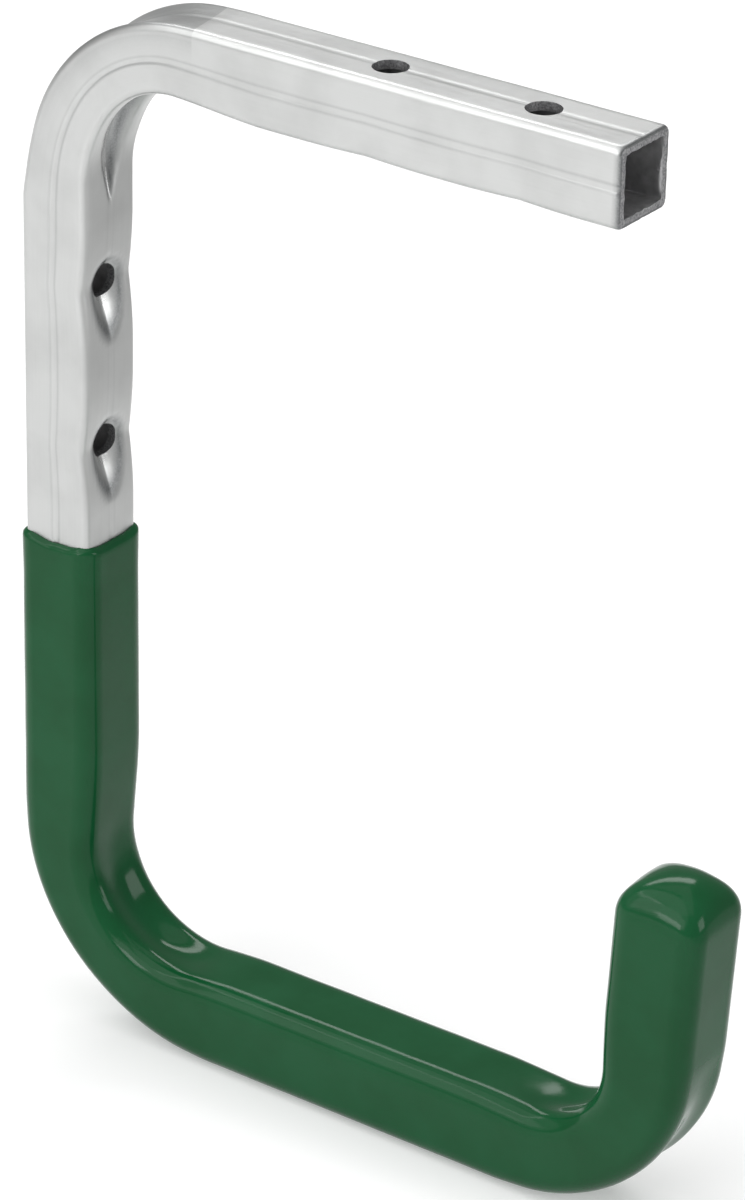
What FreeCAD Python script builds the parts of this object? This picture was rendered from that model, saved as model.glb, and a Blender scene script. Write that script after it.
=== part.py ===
import FreeCAD, Part
import math
import os
from types import SimpleNamespace
from FreeCAD import Placement, Rotation, Vector

# Garage utility hook: one bent square steel tube with a dipped vinyl sleeve over its lower half.
# Own frame: X out of the wall, Y across the tube, Z up. The wall is the plane X = 0, and the
# origin is midway between the two wall screw holes. Lengths are millimetres, angles degrees.

sizes = {
    # square tube
    "tube_width": 16.0,
    "tube_wall": 1.8,
    "tube_corner_radius": 1.6,
    # line of the bent tube, taken along its centre
    "arm_reach": 136.2,
    "hook_drop": 205.2,
    "lower_arm_reach": 148.4,
    "tip_rise": 63.0,
    "tip_lean": 3.2,
    "top_bend_radius": 29.6,
    "lower_bend_radius": 33.0,
    "tip_bend_radius": 27.2,
    # screw holes
    "screw_hole_diameter": 7.0,
    "wall_hole_below_top": 60.0,
    "wall_hole_spacing": 34.2,
    "arm_hole_from_end": 21.6,
    "arm_hole_spacing": 33.6,
    # dish pressed into the inner face round each hole
    "wall_dish_depth": 2.3,
    "wall_dish_pull": 1.1,
    "arm_dish_depth": 1.6,
    "arm_dish_pull": 0.4,
    "dish_half_width": 4.8,
    "dish_half_length": 10.6,
    # fold of the inner wall in each bend, and how far its corners are drawn in
    "fold_half_width": 4.9,
    "fold_lead": 5.4,
    "top_fold_depth": 4.4,
    "top_pull": 1.6,
    "top_pull_length": 28.0,
    "top_skew": 15.5,
    "lower_fold_depth": 3.4,
    "lower_pull": 4.3,
    "lower_pull_length": 42.0,
    "tip_fold_depth": 3.2,
    "tip_pull": 2.6,
    "tip_pull_length": 34.0,
    # the outer wall in each bend
    "ridge_drop": 1.6,
    "outer_sag": 1.3,
    # vinyl sleeve
    "sleeve_below_top": 115.4,
    "sleeve_wall": 1.15,
    "sleeve_tip_wall": 1.6,
    "sleeve_fill": 0.2,
    "lip_root": 0.8,
    "lip_rise": 1.4,
    "lip_bead": 0.35,
    "lip_wave": 1.6,
    "lip_fade": 9.0,
    "dome_height": 8.0,
    "dome_cover": 4.5,
}


def makeSheet(doc):
    sheet = doc.addObject("Spreadsheet::Sheet", "sizes")
    for row, (alias, value) in enumerate(sizes.items(), start=1):
        sheet.set("A%d" % row, alias)
        sheet.set("B%d" % row, str(value))
        sheet.setAlias("B%d" % row, alias)
    doc.recompute()
    return sheet


def hill(s, centre, half, power):
    """1 at the centre, falling smoothly to 0 at half a length to each side."""
    if abs(s - centre) >= half:
        return 0.0
    return math.cos(math.pi / 2 * (s - centre) / half) ** power


class Frame:
    """A place on the centre line: a point and the heading of travel, seen from -Y.

    Travel runs from the open end of the arm to the tip, and every bend turns to the left,
    so the inner side of the hook is on the left all the way.
    """

    def __init__(self, x, z, heading):
        self.x = x
        self.z = z
        self.heading = heading

    def at(self, inward, across, back=0.0):
        turn = math.radians(self.heading)
        x = self.x - inward * math.sin(turn) - back * math.cos(turn)
        z = self.z + inward * math.cos(turn) - back * math.sin(turn)
        return Vector(x, across, z)

    def direction(self):
        turn = math.radians(self.heading)
        return Vector(math.cos(turn), 0, math.sin(turn))

    def ahead(self, distance):
        step = self.direction() * distance
        return Frame(self.x + step.x, self.z + step.z, self.heading)

    def turned(self, radius, angle):
        centre = self.at(radius, 0)
        heading = self.heading + angle
        turn = math.radians(heading)
        return Frame(centre.x + radius * math.sin(turn), centre.z - radius * math.cos(turn), heading)


class HookPath:
    """Centre line of the tube, walked by its length s from the open end of the arm."""

    def __init__(self, g):
        half = g.tube_width / 2
        tipTurn = 90 - g.tip_lean
        tipTangent = g.tip_bend_radius * math.tan(math.radians(tipTurn / 2))
        runs = [
            ("arm", g.arm_reach - half - g.top_bend_radius, 0, 0),
            ("topBend", 0, g.top_bend_radius, 90),
            ("wall", g.hook_drop - g.top_bend_radius - g.lower_bend_radius, 0, 0),
            ("lowerBend", 0, g.lower_bend_radius, 90),
            ("lowerArm", g.lower_arm_reach - half - g.lower_bend_radius - tipTangent, 0, 0),
            ("tipBend", 0, g.tip_bend_radius, tipTurn),
            ("tip", g.tip_rise - tipTangent, 0, 0),
        ]
        self.top = g.wall_hole_below_top + g.wall_hole_spacing / 2
        frame = Frame(g.arm_reach, self.top - half, 180)
        self.runs = []
        s = 0.0
        for name, straight, radius, angle in runs:
            length = straight or radius * math.radians(angle)
            self.runs.append((name, s, length, radius, frame))
            frame = frame.turned(radius, angle) if radius else frame.ahead(straight)
            s += length
        self.length = s

    def span(self, name):
        return next((start, start + length) for run, start, length, r, f in self.runs if run == name)

    def frame(self, s):
        for name, start, length, radius, frame in self.runs:
            if s <= start + length + 1e-9:
                break
        along = s - start
        return frame.turned(radius, math.degrees(along / radius)) if radius else frame.ahead(along)


class Pinch:
    """How far the section is pushed out of square at one place along the tube."""

    def __init__(self):
        self.pull = 0.0     # inner corners drawn towards the outer side
        self.fold = 0.0     # depth of the fold along the middle of the inner face
        self.reach = narrowestReach     # half width of that fold
        self.drop = 0.0     # outer corners drawn towards the inner side
        self.sag = 0.0      # middle of the outer face below its corners

    def widen(self, reach, share):
        self.reach = max(self.reach, narrowestReach + (reach - narrowestReach) * share)


class Bend:
    """A bend made without a mandrel: the inner wall folds in, the outer wall sags.

    Skew moves the place where the inner corners are drawn in most back along the tube, and the
    place where the outer corners give most on along it."""

    def __init__(self, g, span, fold, pull, pullLength, skew):
        self.g = g
        self.middle = (span[0] + span[1]) / 2
        self.half = (span[1] - span[0]) / 2 + g.fold_lead
        self.fold = fold
        self.pull = pull
        self.pullLength = pullLength
        self.skew = skew

    def breaks(self):
        """Where the fold starts and ends, and the ends of all that the bend pushes about."""
        folded = [self.middle - self.half, self.middle + self.half]
        pulled = [self.middle - self.skew - self.pullLength, self.middle - self.skew + self.pullLength]
        return folded + [min(folded + pulled), max(folded + pulled)]

    def press(self, pinch, s):
        share = hill(s, self.middle, self.half, 1.0)
        ridge = self.middle + self.skew
        ridgeHalf = self.half + (self.skew if s < ridge else -self.skew)
        pinch.fold += self.fold * share
        pinch.widen(self.g.fold_half_width, share)
        pinch.pull += self.pull * hill(s, self.middle - self.skew, self.pullLength, 1.5)
        pinch.drop += self.g.ridge_drop * hill(s, ridge, ridgeHalf, 1.3)
        pinch.sag += self.g.outer_sag * hill(s, self.middle, self.half, 1.5)


class Dish:
    """The dent that the punch leaves in the inner face as it makes a screw hole."""

    def __init__(self, g, centre, depth, pull):
        self.g = g
        self.centre = centre
        self.depth = depth
        self.pull = pull

    def breaks(self):
        return [self.centre - self.g.dish_half_length, self.centre, self.centre + self.g.dish_half_length]

    def press(self, pinch, s):
        share = max(0.0, 1.0 - abs(s - self.centre) / self.g.dish_half_length)
        pinch.fold += self.depth * share
        pinch.widen(self.g.dish_half_width, share)
        pinch.pull += self.pull * share


class Hook:
    """The centre line with every bend and dish on it."""

    def __init__(self, g):
        self.path = HookPath(g)
        # place on the wall run at the height 0
        wallTop = self.path.top - g.tube_width / 2 - g.top_bend_radius
        self.wallHolesMiddle = self.path.span("wall")[0] + wallTop
        armHoles = [g.arm_hole_from_end, g.arm_hole_from_end + g.arm_hole_spacing]
        wallHoles = [self.wallHolesMiddle + way * g.wall_hole_spacing / 2 for way in (-1, 1)]
        self.dishes = [Dish(g, s, g.arm_dish_depth, g.arm_dish_pull) for s in armHoles]
        self.dishes += [Dish(g, s, g.wall_dish_depth, g.wall_dish_pull) for s in wallHoles]
        self.bends = [
            Bend(g, self.path.span("topBend"), g.top_fold_depth, g.top_pull, g.top_pull_length, g.top_skew),
            Bend(g, self.path.span("lowerBend"), g.lower_fold_depth, g.lower_pull, g.lower_pull_length, 0),
            Bend(g, self.path.span("tipBend"), g.tip_fold_depth, g.tip_pull, g.tip_pull_length, 0),
        ]

    def pinch(self, s):
        pinch = Pinch()
        for feature in self.dishes + self.bends:
            feature.press(pinch, s)
        return pinch

    def stretches(self, start, end):
        """Lists of section places from start to end: many where a bend is, else one at each end."""
        breaks = {s for feature in self.dishes + self.bends for s in feature.breaks() if start < s < end}
        marks = sorted(breaks | {start, end})
        return [spread(a, b) if self.bent(a, b) else [a, b] for a, b in zip(marks, marks[1:])]

    def bent(self, a, b):
        return any(min(bend.breaks()) < b and a < max(bend.breaks()) for bend in self.bends)


def spread(start, end):
    count = max(fewestSteps, math.ceil((end - start) / sectionStep))
    return [start + (end - start) * k / count for k in range(count + 1)]


# A section outline is a list of corners, each (inward, across) from the centre line, with how far
# back along the tube it sits as a third number where that matters. Each share pairs a place over
# half the width of a fold or sag with how deep it is there.

sectionStep = 8.0
fewestSteps = 3
narrowestReach = 1.0
cornerMargin = 0.4
flatEnough = 1e-6
sagShare = ((1.0, 0.0), (0.5, 1.0))
creaseShare = ((1.0, 0.0), (0.0, 1.0))
hollowShare = ((1.0, 0.0), (0.2, 1.0))
lipTurns = (0, 22.5, 45, 67.5, 90)
domeTurns = (0, 15, 30, 45, 60, 72, 82)


def rounded(centre, start, end, flats):
    """A quarter round from start to end about centre, cut as a number of flats."""
    turns = [math.pi / 2 * k / flats for k in range(flats + 1)]
    return [
        tuple(c + (a - c) * math.cos(t) + (b - c) * math.sin(t) for c, a, b in zip(centre, start, end))
        for t in turns
    ]


def outline(half, radius, flats, pinch, share):
    """A pinched square, from the middle of the outer face round the near side (y < 0) and back.
    A corner with no radius is left with one point."""
    flat = half - radius
    outer = pinch.drop - half
    inner = half - pinch.pull
    reach = min(pinch.reach, flat - cornerMargin)
    near = [(outer + pinch.sag * depth, -flat * u) for u, depth in reversed(sagShare[1:])]
    near += rounded((outer + radius, -flat), (outer, -flat), (outer + radius, -half), flats)
    near += rounded((inner - radius, -flat), (inner - radius, -half), (inner, -flat), flats)
    near += [(inner - pinch.fold * depth, -reach * u) for u, depth in share]
    far = [(inward, -across) for inward, across in reversed(near) if across]
    return list(dict.fromkeys(near + far))


def polygon(points):
    return Part.makePolygon(points + points[:1])


def panels(here, there):
    """Flat faces between two sections; a twisted panel is split along its diagonal."""
    faces = []
    for a, b, c, d in zip(here, here[1:] + here[:1], there[1:] + there[:1], there):
        twist = (b - a).cross(c - a).dot(d - a)
        faces += [[a, b, c, d]] if abs(twist) < flatEnough else [[a, b, c], [a, c, d]]
    return [Part.Face(polygon(corners)) for corners in faces]


def flattened(face):
    """The same face on a true plane, where it is flat."""
    plane = face.findPlane()
    return Part.Face(plane, face.OuterWire) if plane else face


def skin(path, outlineAt, stretches):
    """A closed solid along the tube: flat panels where a stretch has only two sections, and
    smooth through all the sections elsewhere."""
    def section(s):
        return [path.frame(s).at(*corner) for corner in outlineAt(s)]

    faces = [Part.Face(polygon(section(s))) for s in (stretches[0][0], stretches[-1][-1])]
    for places in stretches:
        if len(places) == 2:
            faces += panels(section(places[0]), section(places[1]))
        else:
            loft = Part.makeLoft([polygon(section(s)) for s in places])
            faces += [flattened(face) for face in loft.Faces]
    shell = Part.makeCompound(faces)
    shell.sewShape()
    return Part.Solid(shell).removeSplitter()


class Sleeve:
    """The vinyl coat, from its lip on the wall run down to the dome over the tip."""

    def __init__(self, g, hook):
        self.g = g
        self.hook = hook
        self.lip = hook.wallHolesMiddle + g.sleeve_below_top - hook.path.top
        self.dome = hook.path.length + g.dome_cover - g.dome_height

    def wall(self, s):
        """Thickness of the coat; the lip starts inside the tube and swells to a bead."""
        g = self.g
        along = (s - self.lip) / (self.dome - self.lip)
        bead = g.lip_bead * hill(s, self.lip + g.lip_rise, g.lip_fade - g.lip_rise, 2.0)
        full = g.sleeve_wall + (g.sleeve_tip_wall - g.sleeve_wall) * along + bead
        left = max(0.0, 1 - (s - self.lip) / g.lip_rise)
        return (full + g.lip_root) * math.sqrt(1 - left ** 2) - g.lip_root

    def creep(self, s, half, corner):
        """How far the coat runs up the tube's corners, fading out below the lip."""
        fade = hill(s, self.lip, self.g.lip_fade, 2.0) if s > self.lip else 0.0
        return self.g.lip_wave * fade * (corner[0] * corner[1] / half ** 2) ** 2

    def outline(self, s):
        wall = self.wall(s)
        half = self.g.tube_width / 2 + wall
        shrink = math.sqrt(1 - max(0.0, (s - self.dome) / self.g.dome_height) ** 2)
        pinch = self.hook.pinch(s)
        pinch.fold *= 1 - self.g.sleeve_fill
        corners = outline(half, self.g.tube_corner_radius + wall, 2, pinch, hollowShare)
        return [(a * shrink, b * shrink, self.creep(s, half, (a, b))) for a, b in corners]

    def stretches(self):
        g = self.g
        lip = [self.lip + g.lip_rise * (1 - math.cos(math.radians(turn))) for turn in lipTurns]
        dome = [self.dome + g.dome_height * math.sin(math.radians(turn)) for turn in domeTurns]
        settled = self.lip + g.lip_fade
        body = self.hook.stretches(settled, self.dome)
        return [lip[:2], lip[1:], spread(lip[-1], settled)] + body + [dome]


def tubeOutline(g, hook, wall, radius, flats):
    return lambda s: outline(g.tube_width / 2 - wall, radius, flats, hook.pinch(s), creaseShare)


def addShape(doc, name, shape):
    feature = doc.addObject("Part::Feature", name)
    feature.Shape = shape
    return feature


def addHole(doc, name, turn, places):
    """A screw hole bound to the sheet; places maps each coordinate to its expression."""
    hole = doc.addObject("Part::Cylinder", name)
    hole.Placement = Placement(Vector(), turn)
    hole.setExpression("Radius", "sizes.screw_hole_diameter / 2")
    hole.setExpression("Height", "2 * sizes.tube_width")
    for axis, expression in places.items():
        hole.setExpression("Placement.Base." + axis, expression)
    return hole


def addHoles(doc):
    outward = Rotation(Vector(0, 1, 0), 90)
    upward = Rotation()
    behind = "-sizes.tube_width / 2"
    under = "sizes.wall_hole_below_top + sizes.wall_hole_spacing / 2 - 1.5 * sizes.tube_width"
    outerHole = "sizes.arm_reach - sizes.arm_hole_from_end"
    return [
        addHole(doc, "upper_wall_hole", outward, {"x": behind, "z": "sizes.wall_hole_spacing / 2"}),
        addHole(doc, "lower_wall_hole", outward, {"x": behind, "z": "-sizes.wall_hole_spacing / 2"}),
        addHole(doc, "outer_arm_hole", upward, {"x": outerHole, "z": under}),
        addHole(doc, "inner_arm_hole", upward, {"x": outerHole + " - sizes.arm_hole_spacing", "z": under}),
    ]


def addCut(doc, name, base, tool):
    cut = doc.addObject("Part::Cut", name)
    cut.Base = base
    cut.Tool = tool
    cut.Label = name
    return cut


def checked(doc, parts):
    doc.recompute()
    for item in doc.Objects:
        if "Invalid" in item.State or "Error" in item.State:
            raise RuntimeError("%s is not built: %s" % (item.Name, item.State))
    for part in parts:
        if part.Shape.isNull() or not part.Shape.isValid() or len(part.Shape.Solids) != 1:
            raise RuntimeError("%s is not one sound solid" % part.Label)
    return parts


def main():
    doc = FreeCAD.newDocument("utility_hook")
    sheet = makeSheet(doc)
    g = SimpleNamespace(**{alias: float(sheet.get(alias)) for alias in sizes})
    hook = Hook(g)
    sleeve = Sleeve(g, hook)
    path = hook.path
    tubeSkin = addShape(doc, "tube_skin", skin(
        path, tubeOutline(g, hook, 0.0, g.tube_corner_radius, 2), hook.stretches(0.0, path.length)))
    bore = addShape(doc, "bore", skin(
        path, tubeOutline(g, hook, g.tube_wall, 0.0, 1), hook.stretches(-1.0, path.length + 1.0)))
    sleeveSkin = addShape(doc, "sleeve_skin", skin(path, sleeve.outline, sleeve.stretches()))
    hollow = doc.addObject("Part::MultiFuse", "hollow")
    hollow.Shapes = [bore] + addHoles(doc)
    parts = [
        addCut(doc, "hook_tube", tubeSkin, hollow),
        addCut(doc, "vinyl_sleeve", sleeveSkin, tubeSkin),
    ]
    os.makedirs("parts", exist_ok=True)
    for part in checked(doc, parts):
        part.Shape.exportStep("parts/%s.step" % part.Label)
        print(part.Label, round(part.Shape.Volume), "mm3")


main()
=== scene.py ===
import math
import bmesh
import bpy
from mathutils import Matrix, Vector, noise


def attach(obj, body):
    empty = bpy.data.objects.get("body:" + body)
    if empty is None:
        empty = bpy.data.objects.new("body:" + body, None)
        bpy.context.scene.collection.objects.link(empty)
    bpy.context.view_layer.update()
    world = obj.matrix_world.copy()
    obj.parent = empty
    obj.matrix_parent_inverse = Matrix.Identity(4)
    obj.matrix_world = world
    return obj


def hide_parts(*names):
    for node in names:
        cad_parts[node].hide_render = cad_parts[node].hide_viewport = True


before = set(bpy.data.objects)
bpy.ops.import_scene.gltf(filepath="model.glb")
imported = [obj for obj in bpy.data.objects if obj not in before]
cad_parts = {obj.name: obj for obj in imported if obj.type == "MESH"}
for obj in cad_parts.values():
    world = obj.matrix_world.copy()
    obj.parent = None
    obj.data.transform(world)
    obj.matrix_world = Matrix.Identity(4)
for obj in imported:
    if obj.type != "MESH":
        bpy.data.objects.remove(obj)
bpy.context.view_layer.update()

mm = 0.001
print("frame loaded:", sorted(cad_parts))

# camera as solved from the photograph; place in millimetres, angles in degrees
cameraView = {
    "place": (579.7, -713.6, 406.9),
    "azimuth": 35.03,
    "elevation": 26.74,
    "roll": 1.215,
    "focalPixels": 5087.0,
    "imageWidth": 745.0,
    "sensor": 36.0,
}


def addCamera(view):
    a = math.radians(view["azimuth"])
    e = math.radians(view["elevation"])
    r = math.radians(view["roll"])
    back = Vector((math.sin(a) * math.cos(e), -math.cos(a) * math.cos(e), math.sin(e)))
    level = Vector((math.cos(a), math.sin(a), 0))
    upright = back.cross(level)
    right = level * math.cos(r) + upright * math.sin(r)
    up = upright * math.cos(r) - level * math.sin(r)
    camera = bpy.data.objects.new("camera", bpy.data.cameras.new("camera"))
    bpy.context.scene.collection.objects.link(camera)
    turn = Matrix((right, up, back)).transposed().to_4x4()
    camera.matrix_world = Matrix.Translation(Vector(view["place"]) * mm) @ turn
    camera.data.sensor_fit = "HORIZONTAL"
    camera.data.sensor_width = view["sensor"]
    camera.data.lens = view["focalPixels"] * view["sensor"] / view["imageWidth"]
    camera.data.clip_start = 0.05
    camera.data.clip_end = 40
    bpy.context.scene.camera = camera


addCamera(cameraView)
print("camera placed")

# the hook's centre line, walked from the open end of the arm; millimetres and degrees
hookLine = {
    "half": 8.0,
    "top": 77.1,
    "armReach": 136.2,
    "drop": 205.2,
    "lowerReach": 148.4,
    "tipRise": 63.0,
    "tipLean": 3.2,
    "topRadius": 29.6,
    "lowerRadius": 33.0,
    "tipRadius": 27.2,
}


def hookRuns(line):
    tipTurn = 90 - line["tipLean"]
    tipTangent = line["tipRadius"] * math.tan(math.radians(tipTurn / 2))
    steps = [
        (line["armReach"] - line["half"] - line["topRadius"], 0, 0),
        (0, line["topRadius"], 90),
        (line["drop"] - line["topRadius"] - line["lowerRadius"], 0, 0),
        (0, line["lowerRadius"], 90),
        (line["lowerReach"] - line["half"] - line["lowerRadius"] - tipTangent, 0, 0),
        (0, line["tipRadius"], tipTurn),
        (line["tipRise"] - tipTangent, 0, 0),
    ]
    x, z, heading, start = line["armReach"], line["top"] - line["half"], math.pi, 0.0
    found = []
    for straight, radius, angle in steps:
        turn = math.radians(angle)
        length = straight or radius * turn
        found.append((start, length, radius, x, z, heading))
        if radius:
            centreX = x - radius * math.sin(heading)
            centreZ = z + radius * math.cos(heading)
            heading += turn
            x = centreX + radius * math.sin(heading)
            z = centreZ - radius * math.cos(heading)
        else:
            x += straight * math.cos(heading)
            z += straight * math.sin(heading)
        start += length
    return found


runs = hookRuns(hookLine)
hookLength = runs[-1][0] + runs[-1][1]
bendSpans = [(start, start + length) for start, length, radius, x, z, heading in runs if radius]
# place on the wall run that is level with the middle of the wall screw holes
wallMiddle = runs[2][0] + hookLine["top"] - hookLine["half"] - hookLine["topRadius"]


def onHook(co):
    # on a straight tube x is across, y towards the inner side of the hook and z along
    for start, length, radius, x, z, heading in runs:
        if co.z <= start + length:
            break
    along = co.z - start
    if radius:
        turned = heading + along / radius
        reach = radius - co.y
        px = x - radius * math.sin(heading) + reach * math.sin(turned)
        pz = z + radius * math.cos(heading) - reach * math.cos(turned)
    else:
        px = x + along * math.cos(heading) - co.y * math.sin(heading)
        pz = z + along * math.sin(heading) + co.y * math.cos(heading)
    return Vector((px, co.x, pz)) * mm


# how the unfilled tube gave way in each bend: the inner wall folds in and the outer wall sags
bendForms = [
    {"fold": 4.4, "steep": 0.75, "pull": 1.6, "pullLength": 28.0, "skew": 15.5},
    {"fold": 3.4, "steep": 1.6, "pull": 2.5, "pullLength": 40.0, "skew": 5.0},
    {"fold": 3.2, "steep": 1.6, "pull": 1.5, "pullLength": 34.0, "skew": 0.0},
]
bendShape = {"foldWidth": 4.9, "lead": 5.4, "drop": 1.6, "sag": 1.3}

# dish that the punch left in the inner face round each screw hole
dishShape = {
    "halfWidth": 5.4,
    "before": 5.8,
    "beyond": 13.0,
    "pullLength": 13.5,
    "armDepth": 1.6,
    "armPull": 0.4,
    "wallDepth": 2.4,
    "wallPull": 1.1,
}
screwHoles = {
    "radius": 3.5,
    "arm": [21.6, 55.2],
    "wall": [wallMiddle - 17.1, wallMiddle + 17.1],
}


def hill(s, centre, half, power):
    gap = abs(s - centre)
    return math.cos(math.pi / 2 * gap / half) ** power if gap < half else 0.0


def pinchAt(s):
    pinch = {"pull": 0.0, "fold": 0.0, "reach": 0.8, "drop": 0.0, "sag": 0.0,
             "dish": 0.0, "dishWidth": 1.0, "alongDish": 2.0}
    for (start, end), form in zip(bendSpans, bendForms):
        middle = (start + end) / 2
        half = (end - start) / 2 + bendShape["lead"]
        share = hill(s, middle, half, form["steep"])
        ridge = middle + form["skew"]
        ridgeHalf = half + (form["skew"] if s < ridge else -form["skew"])
        pinch["fold"] += form["fold"] * share
        pinch["reach"] = max(pinch["reach"], bendShape["foldWidth"] * share)
        pinch["pull"] += form["pull"] * hill(s, middle - form["skew"], form["pullLength"], 1.5)
        pinch["drop"] += bendShape["drop"] * hill(s, ridge, ridgeHalf, 1.3)
        pinch["sag"] += bendShape["sag"] * hill(s, middle, half, 1.5)
    for run in ("arm", "wall"):
        for place in screwHoles[run]:
            along = (s - place) / dishShape["before" if s < place else "beyond"]
            left = max(0.0, 1 - along * along)
            if left:
                pinch["alongDish"] = along
            pinch["dish"] += dishShape[run + "Depth"] * left ** 1.4
            pinch["dishWidth"] = max(pinch["dishWidth"], dishShape["halfWidth"] * left ** 0.55)
            near = max(0.0, 1 - abs(s - place) / dishShape["pullLength"])
            pinch["pull"] += dishShape[run + "Pull"] * near ** 1.7
    return pinch


def pressed(co, pinch, flat, soften):
    # moves a point of the straight tube as the bends and dishes at its place do
    inner = min(1.0, max(0.0, (co.y + flat) / (2 * flat)))
    y = co.y - pinch["pull"] * inner + pinch["drop"] * (1 - inner)
    across = abs(co.x)
    reach = vinylCoat["hollowWidth"] if soften else pinch["reach"]
    if co.y > flat and across < reach:
        u = across / reach
        y -= pinch["fold"] * (math.cos(math.pi / 2 * u) ** 2 if soften else min(0.76, (1 - u) ** 1.1))
    if co.y > flat and across < pinch["dishWidth"]:
        u = across / pinch["dishWidth"]
        y -= pinch["dish"] * (0.7 * math.cos(math.pi / 2 * u) ** 1.7 + 0.3 * (1 - u) ** 1.15)
    if co.y < -flat and across < flat:
        y += pinch["sag"] * math.cos(math.pi / 2 * across / flat) ** 1.2
    return Vector((co.x, y, co.z))


def offCore(co, flat):
    # from the flat-sided core of a rounded square straight out to a point of it
    return co - Vector((max(-flat, min(flat, co.x)), max(-flat, min(flat, co.y)), co.z))


def swollen(co, flat, amount):
    # moves a point of a rounded square straight out from its face or corner
    out = offCore(co, flat)
    return co + out.normalized() * amount if out.length > 1e-6 else co


def ladder(start, end, step):
    count = max(1, math.ceil((end - start) / step))
    return [start + (end - start) * k / count for k in range(count + 1)]


# shares of the way from the middle of a flat face to its edge, close together at the rolled groove
faceMarks = (0.0, 0.05, 0.08, 0.125, 0.22, 0.34, 0.48, 0.62, 0.76, 0.89, 1.0)


def reshaped(co, old, new):
    # moves a point of one rounded square to the same place on another; both are (half, corner)
    flat = old[0] - old[1]
    core = Vector((max(-flat, min(flat, co.x)), max(-flat, min(flat, co.y)), 0))
    out = Vector((co.x, co.y, 0)) - core
    return core * ((new[0] - new[1]) / flat) + out * (new[1] / old[1])


def sweptBar(stations, cornerCuts):
    # stations are (place along the tube, half width, corner radius), and each one gets a ring
    first, half, corner = stations[0]
    bm = bmesh.new()
    turn = Matrix.Rotation(math.radians(45), 4, "Z")
    ring = bmesh.ops.create_circle(bm, cap_ends=True, segments=4, radius=half * math.sqrt(2), matrix=turn)
    bmesh.ops.bevel(bm, geom=ring["verts"], offset=corner, offset_type="OFFSET", segments=cornerCuts,
                    profile=0.5, affect="VERTICES", material=-1)
    sides = [edge for edge in bm.edges if edge.calc_length() > half]
    count = len(faceMarks) - 1
    bmesh.ops.subdivide_edges(bm, edges=sides, cuts=2 * count - 1)
    bmesh.ops.delete(bm, geom=bm.faces[:], context="FACES_ONLY")
    flat = half - corner
    for vert in bm.verts:
        for here, other in ((0, 1), (1, 0)):
            share = abs(vert.co[here]) / flat
            if share < 1.001 and abs(vert.co[other]) > half - 1e-3:
                vert.co[here] = math.copysign(flat * faceMarks[round(share * count)], vert.co[here])
        vert.co.z = first
    edges = bm.edges[:]
    for old, new in zip(stations, stations[1:]):
        grown = bmesh.ops.extrude_edge_only(bm, edges=edges)["geom"]
        edges = [part for part in grown if isinstance(part, bmesh.types.BMEdge)]
        for vert in [part for part in grown if isinstance(part, bmesh.types.BMVert)]:
            vert.co = reshaped(vert.co, old[1:], new[1:])
            vert.co.z = new[0]
    return bm


def makeObject(bm, name):
    mesh = bpy.data.meshes.new(name)
    bm.to_mesh(mesh)
    bm.free()
    piece = bpy.data.objects.new(name, mesh)
    bpy.context.scene.collection.objects.link(piece)
    return piece


def bendOver(piece, place, shadeAndMarks, finish):
    # keeps each point's place on the straight tube for the materials, then puts it on the hook
    bm = bmesh.new()
    bm.from_mesh(piece.data)
    straight = bm.verts.layers.float_vector.new("straightTube")
    marks = {name: bm.verts.layers.float.new(name) for name in shadeAndMarks}
    for face in bm.faces:
        face.material_index = finish(face.calc_center_median())
    pinches = {}
    for vert in bm.verts:
        key = round(vert.co.z, 3)
        if key not in pinches:
            pinches[key] = pinchAt(vert.co.z)
        vert[straight] = vert.co * mm
        for name, layer in marks.items():
            vert[layer] = shadeAndMarks[name](vert.co, pinches[key])
        vert.co = onHook(place(vert.co, pinches[key]))
    bmesh.ops.remove_doubles(bm, verts=bm.verts[:], dist=1e-7)
    bmesh.ops.recalc_face_normals(bm, faces=bm.faces[:])
    bm.to_mesh(piece.data)
    bm.free()


# square steel tube, rolled with a shallow groove along the middle of each face
steelTube = {
    "half": 8.0,
    "corner": 1.6,
    "wall": 1.8,
    "boreCorner": 0.35,
    "cornerCuts": 6,
    "ringStep": 1.0,
    "coatedStep": 4.0,
    "sideGroove": 0.12,
    "outerGroove": 0.055,
    "grooveHalf": 0.6,
    "grooveShade": 0.2,
    "burnish": 0.3,
    "burnishLength": 0.8,
    "raggedness": 0.28,
    "burr": 0.45,
    "ripple": 0.035,
    "sawWander": 0.08,
    "sharpAngle": 38.0,
}
vinylCoat = {
    "start": wallMiddle + 38.3,
    "wall": 1.34,
    "tipWall": 1.55,
    "innerBuild": 0.9,
    "fill": 0.66,
    "hollowWidth": 6.0,
    "rounder": 1.0,
    "lipRoot": 0.8,
    "lipRise": 1.4,
    "lipBead": 0.1,
    "lipWave": 1.6,
    "lipFade": 9.0,
    "lipDrip": 0.5,
    "unevenness": 0.04,
    "domeHeight": 8.6,
    "domeCover": 5.6,
    "domeSwell": 1.6,
    "ringStep": 1.2,
}


def grooved(co, half, corner):
    flat = half - corner
    for here, other, depth in ((0, 1, steelTube["outerGroove"]), (1, 0, steelTube["sideGroove"])):
        if abs(co[other]) > half - 1e-3 and abs(co[here]) < flat:
            past = abs(co[here]) - steelTube["grooveHalf"] * 0.8
            rise = min(1.0, max(0.0, past / (steelTube["grooveHalf"] * 0.45)))
            co[other] -= math.copysign(depth * (1 - rise), co[other])
    return co


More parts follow.
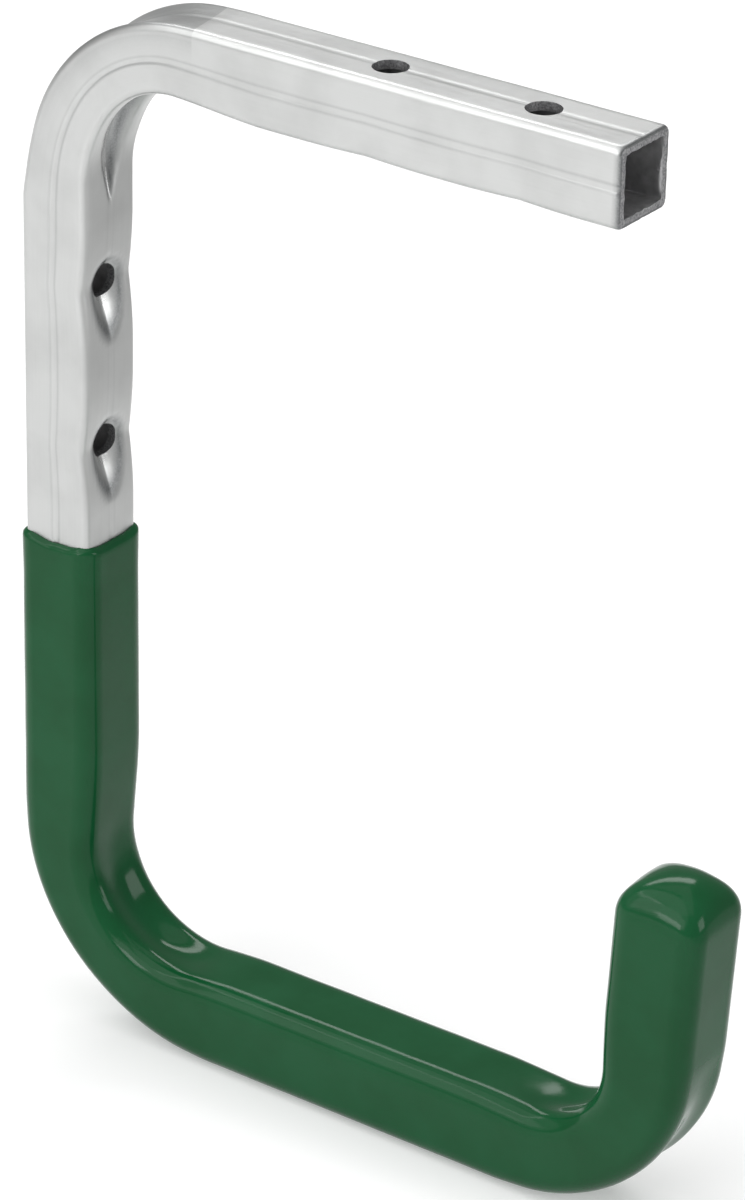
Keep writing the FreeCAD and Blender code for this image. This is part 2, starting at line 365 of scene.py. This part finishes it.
def tubePoint(co, pinch):
    outside = max(abs(co.x), abs(co.y)) > steelTube["half"] - steelTube["wall"] / 2
    half = steelTube["half"] - (0 if outside else steelTube["wall"])
    corner = steelTube["corner"] if outside else steelTube["boreCorner"]
    flat = half - corner
    grain = (noise.noise(Vector((co.x * 0.12, co.y * 0.12, co.z * 0.05))) - 1) * steelTube["ripple"]
    wanted = co.copy()
    if outside:
        wanted = grooved(wanted, half, corner)
        edge = max(0.0, 1 - co.z / steelTube["burnishLength"])
        grain -= steelTube["burnish"] * edge * edge
    elif co.z < 1.0:
        # the saw left a ragged inner edge, and a burr stands on the far wall just inside it
        rough = noise.noise(co * 0.8) + 0.6 * noise.noise(co * 2.7)
        grain -= steelTube["raggedness"] * rough * (1 - co.z)
        if co.x > flat and 0.1 < co.z:
            grain -= steelTube["burr"] * (0.7 + rough) * (1 - abs(co.y) / half)
    wanted = swollen(wanted, flat, grain)
    if co.z < 0.01:
        wanted.z += steelTube["sawWander"] * noise.noise(co * 1.3)
    return pressed(wanted, pinch, flat, False)


def tubePaintedShade(co, pinch):
    # painted shade along the groove edges, round the dish rims and on the fold walls, and darker towards the
    # cut end
    shadeAndMark = max(0.0, 1 - co.z / 1.6) ** 1.5
    near = min(abs(co.x), abs(co.y))
    # painted shade: dark lines along the edges of each rolled groove
    if 0.6 < near < 1.1:
        shadeAndMark += steelTube["grooveShade"] * (1.0 if abs(co.y) < abs(co.x) else 0.4)
    if co.y > steelTube["half"] - steelTube["corner"]:
        # painted shade: a dark ring round each screw-hole dish, a little lighter on the side towards the open
        # end
        rim = math.hypot(co.x / dishShape["halfWidth"], pinch["alongDish"])
        amount = 1.0 if pinch["alongDish"] > 0 else 0.8
        shadeAndMark += amount * max(0.0, 1 - abs(rim - 0.78) / 0.27)
        # painted shade on the walls of the folds in the bends
        wall = max(0.0, 1 - abs(abs(co.x) / pinch["reach"] - 0.5) / 0.45)
        shadeAndMark += wall * min(1.0, pinch["fold"] / 1.5)
    return min(1.0, shadeAndMark)


def tubePolish(co, pinch):
    # the punch and the bending die burnished the floors of the dishes and folds
    if co.y < steelTube["half"] - steelTube["corner"]:
        return 0.0
    rim = math.hypot(co.x / dishShape["halfWidth"], pinch["alongDish"])
    fold = max(0.0, 1 - abs(co.x) / (0.6 * pinch["reach"])) * min(1.0, pinch["fold"] / 2.0)
    return min(1.0, 2.5 * max(0.0, 0.8 - rim) + 1.5 * fold)


def tubeGripAndShade(co, pinch):
    # how hard the bending die held each place of the top bend's outer wall and sides; the material also uses
    # it as painted shade that darkens the bend
    start, end = bendSpans[0]
    flat = steelTube["half"] - steelTube["corner"]
    heldAndShaded = min(1.0, max(0.0, (end + 8 - co.z) / 30)) if co.z > start - 8 else 0.0
    if co.y < 0.35 - steelTube["half"]:
        return heldAndShaded
    return heldAndShaded * (0.25 if co.y < -flat else 0.65) * max(0.0, -co.y / flat) ** 2


def tubeFinish(centre):
    # number of the material slot: 0 is plated, 1 is cut steel, 2 is the bore
    reach = max(abs(centre.x), abs(centre.y))
    if centre.z < 0.05 and reach < steelTube["half"] - 0.2:
        return 1
    if reach < steelTube["half"] - steelTube["wall"] + 0.05:
        return 2
    for place in screwHoles["arm"] + screwHoles["wall"]:
        off = abs(math.hypot(centre.x, centre.z - place) - screwHoles["radius"])
        if off < 0.15 and reach < steelTube["half"] - 0.1:
            return 1
    return 0


def makeTube():
    look = steelTube
    outside = (look["half"], look["corner"])
    boreHalf = look["half"] - look["wall"]
    bore = (boreHalf, look["boreCorner"])
    places = [0.0, 0.2, 0.45, 0.8] + ladder(1.6, vinylCoat["start"] + 3, look["ringStep"])
    places += ladder(places[-1], hookLength, look["coatedStep"])[1:]
    stations = [(place, *outside) for place in reversed(places)]
    stations += [(0.0, look["half"] - inset, look["corner"] - 0.7 * inset) for inset in (0.35, 0.9, 1.45)]
    stations += [(place, *bore) for place in places]
    stations += [(hookLength, *outside)]
    skin = sweptBar(stations, look["cornerCuts"])
    bmesh.ops.remove_doubles(skin, verts=skin.verts[:], dist=1e-4)
    bmesh.ops.recalc_face_normals(skin, faces=skin.faces[:])
    tube = makeObject(skin, "steelTube")
    punch = bmesh.new()
    for place in screwHoles["arm"] + screwHoles["wall"]:
        turn = Matrix.Translation((0, 0, place)) @ Matrix.Rotation(math.radians(90), 4, "X")
        bmesh.ops.create_cone(punch, cap_ends=True, segments=64, radius1=screwHoles["radius"],
                              radius2=screwHoles["radius"], depth=40, matrix=turn)
    cutter = makeObject(punch, "punch")
    cut = tube.modifiers.new("screwHoles", "BOOLEAN")
    cut.object = cutter
    cut.solver = "EXACT"
    cutMesh = bpy.data.meshes.new_from_object(tube.evaluated_get(bpy.context.evaluated_depsgraph_get()))
    tube.modifiers.clear()
    tube.data = cutMesh
    bpy.data.objects.remove(cutter)
    bendOver(tube, tubePoint, {"paintedShade": tubePaintedShade, "burnish": tubePolish, "gripAndShade": tubeGripAndShade}, tubeFinish)
    tube.data.shade_smooth()
    tube.data.set_sharp_from_angle(angle=math.radians(look["sharpAngle"]))
    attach(tube, "root")
    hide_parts("hook_tube")
    print("steel tube:", len(tube.data.polygons), "faces")
    return tube


tube = makeTube()


def coatThickness(s):
    coat = vinylCoat
    dome = hookLength + coat["domeCover"] - coat["domeHeight"]
    along = (s - coat["start"]) / (dome - coat["start"])
    bead = coat["lipBead"] * hill(s, coat["start"] + coat["lipRise"], coat["lipFade"] - coat["lipRise"], 2.0)
    full = coat["wall"] + (coat["tipWall"] - coat["wall"]) * along + bead
    left = max(0.0, 1 - (s - coat["start"]) / coat["lipRise"])
    return (full + coat["lipRoot"]) * math.sqrt(1 - min(1.0, left) ** 2) - coat["lipRoot"]


def coatPoint(co, pinch):
    half, corner = steelTube["half"], steelTube["corner"]
    flat = half - corner
    if offCore(co, flat).length < corner + 0.2:
        return pressed(co, pinch, flat, False)
    flat -= vinylCoat["rounder"]
    base = swollen(co, flat, -1.0)
    fade = hill(co.z, vinylCoat["start"], vinylCoat["lipFade"], 2.0) if co.z > vinylCoat["start"] else 1.0
    cornerness = (base.x * base.y / half ** 2) ** 2
    drip = noise.noise(Vector((base.x * 0.2, base.y * 0.2, 0.0))) * vinylCoat["lipDrip"]
    wave = fade * (vinylCoat["lipWave"] * cornerness + drip)
    thick = max(0.0, coatThickness(co.z)) + (noise.noise(co * 0.11) - 1) * vinylCoat["unevenness"]
    spread = swollen(base, flat, max(0.0, thick))
    # the vinyl ran down and built up on the inner side, most towards the tip
    along = min(1.0, max(0.0, (co.z - vinylCoat["start"]) / (hookLength - vinylCoat["start"])))
    spread.y += vinylCoat["innerBuild"] * along * max(0.0, base.y / half)
    domeStart = hookLength + vinylCoat["domeCover"] - vinylCoat["domeHeight"]
    t = max(0.0, (co.z - domeStart) / vinylCoat["domeHeight"])
    softened = dict(pinch, fold=pinch["fold"] * (1 - vinylCoat["fill"]))
    place = pressed(spread, softened, flat, True)
    if t > 0:
        shrink = max(0.0, 1 - t ** 2.4) ** 0.45
        radial = math.hypot(place.x, place.y)
        swell = half + vinylCoat["domeSwell"]
        circle = Vector((place.x / radial, place.y / radial)) * swell if radial else Vector((0, 0))
        mix = t ** 2.6
        place.x = (place.x + (circle.x - place.x) * mix) * shrink
        place.y = (place.y + (circle.y - place.y) * mix) * shrink
    place.z = co.z - wave
    return place


def makeCoat():
    coat = vinylCoat
    half, corner = steelTube["half"], steelTube["corner"]
    settled = coat["start"] + coat["lipFade"]
    domeStart = hookLength + coat["domeCover"] - coat["domeHeight"]
    lip = [coat["start"] + coat["lipRise"] * (1 - math.cos(math.radians(a))) for a in range(20, 91, 10)]
    places = lip + ladder(lip[-1], settled, 0.7)[1:] + ladder(settled, domeStart, coat["ringStep"])[1:]
    domeTurns = list(range(6, 90, 6)) + [87, 90]
    places += [domeStart + coat["domeHeight"] * math.sin(math.radians(turn)) for turn in domeTurns]
    against = (half + 0.03, corner + 0.03)
    stations = [(place, *against) for place in reversed(ladder(lip[0], hookLength + 0.1, 3.0))]
    stations += [(place, half + 1.0, corner + 1.0 + coat["rounder"]) for place in places]
    outer = sweptBar(stations, steelTube["cornerCuts"])
    rim = [edge for edge in outer.edges if edge.is_boundary and edge.verts[0].co.z < places[-1] - 1]
    bmesh.ops.holes_fill(outer, edges=rim)
    sleeve = makeObject(outer, "vinylCoat")
    bendOver(sleeve, coatPoint, {}, lambda centre: 0)
    sleeve.data.shade_smooth()
    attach(sleeve, "root")
    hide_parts("vinyl_sleeve")
    print("vinyl coat:", len(sleeve.data.polygons), "faces")
    return sleeve


sleeve = makeCoat()


def linear(code):
    # sRGB hex to the linear colour that the shaders take
    parts = [int(code[k:k + 2], 16) / 255 for k in (1, 3, 5)]
    return tuple(c / 12.92 if c <= 0.04045 else ((c + 0.055) / 1.055) ** 2.4 for c in parts) + (1.0,)


def addNode(material, kind, settings=None, links=None):
    node = material.node_tree.nodes.new(kind)
    for name, value in (settings or {}).items():
        if isinstance(name, int) or name in node.inputs:
            node.inputs[name].default_value = value
        else:
            setattr(node, name, value)
    for name, source in (links or {}).items():
        material.node_tree.links.new(source, node.inputs[name])
    return node


def newMaterial(name):
    material = bpy.data.materials.new(name)
    material.use_nodes = True
    material.node_tree.nodes.clear()
    return material


# bright zinc plating on cold-rolled steel: pale grey, satin, with faint lengthwise rolling lines
zincPlate = {
    "clean": "#c7c8c7",
    "cloudy": "#bebfbe",
    # dark grey mixed in for the painted shade and for the die mark
    "shadeAndMark": "#737576",
    "roughness": (0.32, 0.44),
    "burnished": 0.27,
    "gripLineMm": 96.0,
    "gripSlant": 0.175,
    "grippedAndShaded": 0.4,
    "rollLineMm": 0.4,
    "rollLineLengthMm": 30.0,
    "blotchMm": 12.0,
    "grainMm": 0.35,
    "lineDepthMm": 0.04,
    "grainDepthMm": 0.05,
}


def makeZinc(look):
    material = newMaterial("zincPlatedSteel")
    straight = addNode(material, "ShaderNodeAttribute", {"attribute_name": "straightTube"})
    across = 1 / (look["rollLineMm"] * mm)
    lineScale = (across, across, 1 / (look["rollLineLengthMm"] * mm))
    lineSpace = addNode(material, "ShaderNodeMapping", {"Scale": lineScale},
                        {"Vector": straight.outputs["Vector"]})
    lines = addNode(material, "ShaderNodeTexNoise", {"Scale": 1.0, "Detail": 3.0},
                    {"Vector": lineSpace.outputs[0]})
    place = addNode(material, "ShaderNodeTexCoord")
    blotch = addNode(material, "ShaderNodeTexNoise", {"Scale": 1 / (look["blotchMm"] * mm), "Detail": 4.0},
                     {"Vector": place.outputs["Object"]})
    grain = addNode(material, "ShaderNodeTexNoise", {"Scale": 1 / (look["grainMm"] * mm), "Detail": 2.0},
                    {"Vector": place.outputs["Object"]})
    cloudy = addNode(material, "ShaderNodeMapRange", {"From Min": 0.42, "From Max": 0.72},
                     {"Value": blotch.outputs["Fac"]})
    plated = addNode(material, "ShaderNodeMix",
                     {"data_type": "RGBA", 6: linear(look["clean"]), 7: linear(look["cloudy"])},
                     {0: cloudy.outputs[0]})
    # painted shade of the grooves, dish rims and fold walls, and the darker cut end
    shadeAndMarks = addNode(material, "ShaderNodeAttribute", {"attribute_name": "paintedShade"})
    speckle = addNode(material, "ShaderNodeMapRange",
                      {"From Min": 0.3, "From Max": 0.6, "To Min": 0.8, "To Max": 1.0},
                      {"Value": grain.outputs["Fac"]})
    # the die's mark, together with a painted shade of the bend, starts at a slanting line across the top bend
    gripAndShade = addNode(material, "ShaderNodeAttribute", {"attribute_name": "gripAndShade"})
    apart = addNode(material, "ShaderNodeSeparateXYZ", {}, {0: straight.outputs["Vector"]})
    slanted = addNode(material, "ShaderNodeMath", {"operation": "MULTIPLY_ADD", 1: -look["gripSlant"]},
                      {0: apart.outputs["X"], 2: apart.outputs["Z"]})
    heldAndShaded = addNode(material, "ShaderNodeMapRange",
                   {"From Min": look["gripLineMm"] * mm, "From Max": (look["gripLineMm"] + 0.25) * mm,
                    "To Max": look["grippedAndShaded"]}, {"Value": slanted.outputs[0]})
    gripMarkAndShade = addNode(material, "ShaderNodeMath", {"operation": "MULTIPLY"},
                     {0: gripAndShade.outputs["Fac"], 1: heldAndShaded.outputs[0]})
    shadeAndDieMark = addNode(material, "ShaderNodeMath", {"operation": "ADD"},
                   {0: shadeAndMarks.outputs["Fac"], 1: gripMarkAndShade.outputs[0]})
    shadeAndMark = addNode(material, "ShaderNodeMath", {"operation": "MULTIPLY", "use_clamp": True},
                   {0: shadeAndDieMark.outputs[0], 1: speckle.outputs[0]})
    colour = addNode(material, "ShaderNodeMix", {"data_type": "RGBA", 7: linear(look["shadeAndMark"])},
                     {0: shadeAndMark.outputs[0], 6: plated.outputs[2]})
    satin = addNode(material, "ShaderNodeMapRange",
                    {"From Min": 0.3, "From Max": 0.7,
                     "To Min": look["roughness"][0], "To Max": look["roughness"][1]},
                    {"Value": lines.outputs["Fac"]})
    shine = addNode(material, "ShaderNodeAttribute", {"attribute_name": "burnish"})
    rough = addNode(material, "ShaderNodeMix", {"data_type": "FLOAT", 3: look["burnished"]},
                    {0: shine.outputs["Fac"], 2: satin.outputs[0]})
    lineBump = addNode(material, "ShaderNodeBump", {"Strength": 0.18, "Distance": look["lineDepthMm"] * mm},
                       {"Height": lines.outputs["Fac"]})
    grainBump = addNode(material, "ShaderNodeBump", {"Strength": 0.12, "Distance": look["grainDepthMm"] * mm},
                        {"Height": grain.outputs["Fac"], "Normal": lineBump.outputs[0]})
    shader = addNode(material, "ShaderNodeBsdfPrincipled", {"Metallic": 1.0},
                     {"Base Color": colour.outputs[2], "Roughness": rough.outputs[0],
                      "Normal": grainBump.outputs[0]})
    addNode(material, "ShaderNodeOutputMaterial", {}, {"Surface": shader.outputs[0]})
    return material


# steel cut by a saw or a punch: darker than the plating, rough, with short scratches
cutSteel = {"grey": "#b8b8b9", "dark": "#808082", "scratchMm": 0.4, "roughness": 0.55, "depthMm": 0.12}
# inside of the tube: thin dull plating, dark because little light gets in
boreSteel = {"grey": "#c4c4c5", "dark": "#a4a4a5", "scratchMm": 3.0, "roughness": 0.6, "depthMm": 0.03}


def makeBareSteel(name, look):
    material = newMaterial(name)
    place = addNode(material, "ShaderNodeTexCoord")
    scratch = addNode(material, "ShaderNodeTexNoise", {"Scale": 1 / (look["scratchMm"] * mm), "Detail": 4.0},
                      {"Vector": place.outputs["Object"]})
    share = addNode(material, "ShaderNodeMapRange", {"From Min": 0.35, "From Max": 0.65},
                    {"Value": scratch.outputs["Fac"]})
    colour = addNode(material, "ShaderNodeMix",
                     {"data_type": "RGBA", 6: linear(look["dark"]), 7: linear(look["grey"])},
                     {0: share.outputs[0]})
    bump = addNode(material, "ShaderNodeBump", {"Strength": 0.5, "Distance": look["depthMm"] * mm},
                   {"Height": scratch.outputs["Fac"]})
    shader = addNode(material, "ShaderNodeBsdfPrincipled", {"Metallic": 1.0, "Roughness": look["roughness"]},
                     {"Base Color": colour.outputs[2], "Normal": bump.outputs[0]})
    addNode(material, "ShaderNodeOutputMaterial", {}, {"Surface": shader.outputs[0]})
    return material


# dipped vinyl: deep green, glossy and slightly uneven where the thick coat flowed before it set
dippedVinyl = {
    "deep": "#104a28",
    "light": "#14502e",
    "roughness": (0.1, 0.16),
    "flowMm": 14.0,
    "peelMm": 1.6,
    "peelDepthMm": 0.1,
    "ior": 1.53,
    "gloss": 0.17,
}


def makeVinyl(look):
    material = newMaterial("dippedGreenVinyl")
    place = addNode(material, "ShaderNodeTexCoord")
    flow = addNode(material, "ShaderNodeTexNoise", {"Scale": 1 / (look["flowMm"] * mm), "Detail": 3.0},
                   {"Vector": place.outputs["Object"]})
    peel = addNode(material, "ShaderNodeTexNoise", {"Scale": 1 / (look["peelMm"] * mm), "Detail": 1.0},
                   {"Vector": place.outputs["Object"]})
    shade = addNode(material, "ShaderNodeMapRange", {"From Min": 0.35, "From Max": 0.65},
                    {"Value": flow.outputs["Fac"]})
    colour = addNode(material, "ShaderNodeMix",
                     {"data_type": "RGBA", 6: linear(look["deep"]), 7: linear(look["light"])},
                     {0: shade.outputs[0]})
    rough = addNode(material, "ShaderNodeMapRange",
                    {"From Min": 0.3, "From Max": 0.7,
                     "To Min": look["roughness"][0], "To Max": look["roughness"][1]},
                    {"Value": flow.outputs["Fac"]})
    bump = addNode(material, "ShaderNodeBump", {"Strength": 0.1, "Distance": look["peelDepthMm"] * mm},
                   {"Height": peel.outputs["Fac"]})
    shader = addNode(material, "ShaderNodeBsdfPrincipled",
                     {"IOR": look["ior"], "Specular IOR Level": look["gloss"]},
                     {"Base Color": colour.outputs[2], "Roughness": rough.outputs[0],
                      "Normal": bump.outputs[0]})
    addNode(material, "ShaderNodeOutputMaterial", {}, {"Surface": shader.outputs[0]})
    return material


tube.data.materials.append(makeZinc(zincPlate))
tube.data.materials.append(makeBareSteel("cutSteel", cutSteel))
tube.data.materials.append(makeBareSteel("boreSteel", boreSteel))
sleeve.data.materials.append(makeVinyl(dippedVinyl))
print("materials made")


def seenDirectly(material):
    # 1 for the camera's own rays and those that gloss or glass sends on, else 0
    path = addNode(material, "ShaderNodeLightPath")
    seen = addNode(material, "ShaderNodeMath", {"operation": "MAXIMUM"},
                   {0: path.outputs["Is Camera Ray"], 1: path.outputs["Is Glossy Ray"]})
    return addNode(material, "ShaderNodeMath", {"operation": "MAXIMUM"},
                   {0: seen.outputs[0], 1: path.outputs["Is Transmission Ray"]}).outputs[0]


# white table under the hook; out of the picture on the right it turns pale grey, so that the
# hook's right-hand faces mirror something darker, as they do in the photo
whiteTable = {
    "height": -0.1457,
    "size": 8.0,
    "colour": "#e6e6e6",
    "cloud": "#e3e3e3",
    "grey": "#bebebe",
    "greyTurn": -31.2,
    "greyFrom": 0.152,
    "greyFull": 0.28,
    "glow": 0.25,
    "greyGlow": 0.05,
}


def makeTable(look):
    bm = bmesh.new()
    bmesh.ops.create_grid(bm, x_segments=8, y_segments=8, size=look["size"] / 2,
                          matrix=Matrix.Translation((0, 0, look["height"])))
    table = makeObject(bm, "table")
    material = newMaterial("whiteTable")
    place = addNode(material, "ShaderNodeTexCoord")
    cloud = addNode(material, "ShaderNodeTexNoise", {"Scale": 3.0}, {"Vector": place.outputs["Object"]})
    white = addNode(material, "ShaderNodeMix",
                    {"data_type": "RGBA", 6: linear(look["colour"]), 7: linear(look["cloud"])},
                    {0: cloud.outputs["Fac"]})
    turned = addNode(material, "ShaderNodeMapping", {"Rotation": (0, 0, math.radians(look["greyTurn"]))},
                     {"Vector": place.outputs["Object"]})
    across = addNode(material, "ShaderNodeSeparateXYZ", {}, {0: turned.outputs[0]})
    share = addNode(material, "ShaderNodeMapRange",
                    {"From Min": look["greyFrom"], "From Max": look["greyFull"]},
                    {"Value": across.outputs["X"]})
    colour = addNode(material, "ShaderNodeMix", {"data_type": "RGBA", 7: linear(look["grey"])},
                     {0: share.outputs[0], 6: white.outputs[2]})
    matt = addNode(material, "ShaderNodeBsdfDiffuse", {}, {"Color": colour.outputs[2]})
    # the camera, metal and gloss see the table a little lighter than it lights the hook
    left = addNode(material, "ShaderNodeMapRange", {"To Min": look["glow"], "To Max": look["greyGlow"]},
                   {"Value": share.outputs[0]})
    strength = addNode(material, "ShaderNodeMath", {"operation": "MULTIPLY"},
                       {0: left.outputs[0], 1: seenDirectly(material)})
    glow = addNode(material, "ShaderNodeEmission", {"Color": (1, 1, 1, 1)}, {"Strength": strength.outputs[0]})
    both = addNode(material, "ShaderNodeAddShader", {}, {0: matt.outputs[0], 1: glow.outputs[0]})
    addNode(material, "ShaderNodeOutputMaterial", {}, {"Surface": both.outputs[0]})
    table.data.materials.append(material)


makeTable(whiteTable)

# soft boxes and strips: place, what they face, size in metres, power in watts
studio = {
    "fill": 0.36,
    "sun": {"from": (-0.35, -0.6, 0.72), "strength": 0.8, "angle": 80},
    "lamps": [
        {
            "name": "overheadBox", "place": (-0.1, -0.1, 1.35), "aim": (0.0, 0, 0),
            "size": (1.6, 1.6), "power": 5.5,
        },
        {
            "name": "frontBox", "place": (-0.3, -1.3, 0.8), "aim": (0.0, 0, 0),
            "size": (1.5, 1.0), "power": 6.0,
        },
        {
            "name": "backStrip", "place": (-0.66, 0.9, 1.12), "aim": (0.05, 0, 0),
            "size": (1.3, 0.3), "power": 7.0,
        },
        {
            "name": "frontStrip", "place": (-0.62, -0.45, 0.9), "aim": (0.05, 0, 0),
            "size": (0.9, 0.1), "power": 0.9,
        },
        {
            "name": "rightBox", "place": (0.95, 0.16, 0.26), "aim": (0.02, 0, 0),
            "size": (0.45, 0.45), "power": 2.4,
        },
        {
            "name": "floorBox", "place": (-0.12, -0.95, 0.2), "aim": (-0.13, -0.46, -0.145),
            "size": (0.3, 0.3), "power": 1.5,
        },
    ],
}


def makeStudio(look):
    for lamp in look["lamps"]:
        light = bpy.data.lights.new(lamp["name"], "AREA")
        light.shape = "RECTANGLE"
        light.size, light.size_y = lamp["size"]
        light.energy = lamp["power"]
        box = bpy.data.objects.new(lamp["name"], light)
        bpy.context.scene.collection.objects.link(box)
        box.location = lamp["place"]
        aim = Vector(lamp["aim"]) - Vector(lamp["place"])
        box.rotation_euler = aim.to_track_quat("-Z", "Y").to_euler()
    sun = bpy.data.lights.new("sun", "SUN")
    sun.energy = look["sun"]["strength"]
    sun.angle = math.radians(look["sun"]["angle"])
    overhead = bpy.data.objects.new("sun", sun)
    bpy.context.scene.collection.objects.link(overhead)
    overhead.rotation_euler = (-Vector(look["sun"]["from"])).to_track_quat("-Z", "Y").to_euler()
    world = bpy.data.worlds.new("studio")
    bpy.context.scene.world = world
    world.use_nodes = True
    world.node_tree.nodes.clear()
    white = addNode(world, "ShaderNodeBackground", {"Color": (1, 1, 1, 1), "Strength": look["fill"]})
    addNode(world, "ShaderNodeOutputWorld", {}, {"Surface": white.outputs[0]})
    bpy.context.scene.view_settings.view_transform = "Standard"


makeStudio(studio)
print("studio lit")
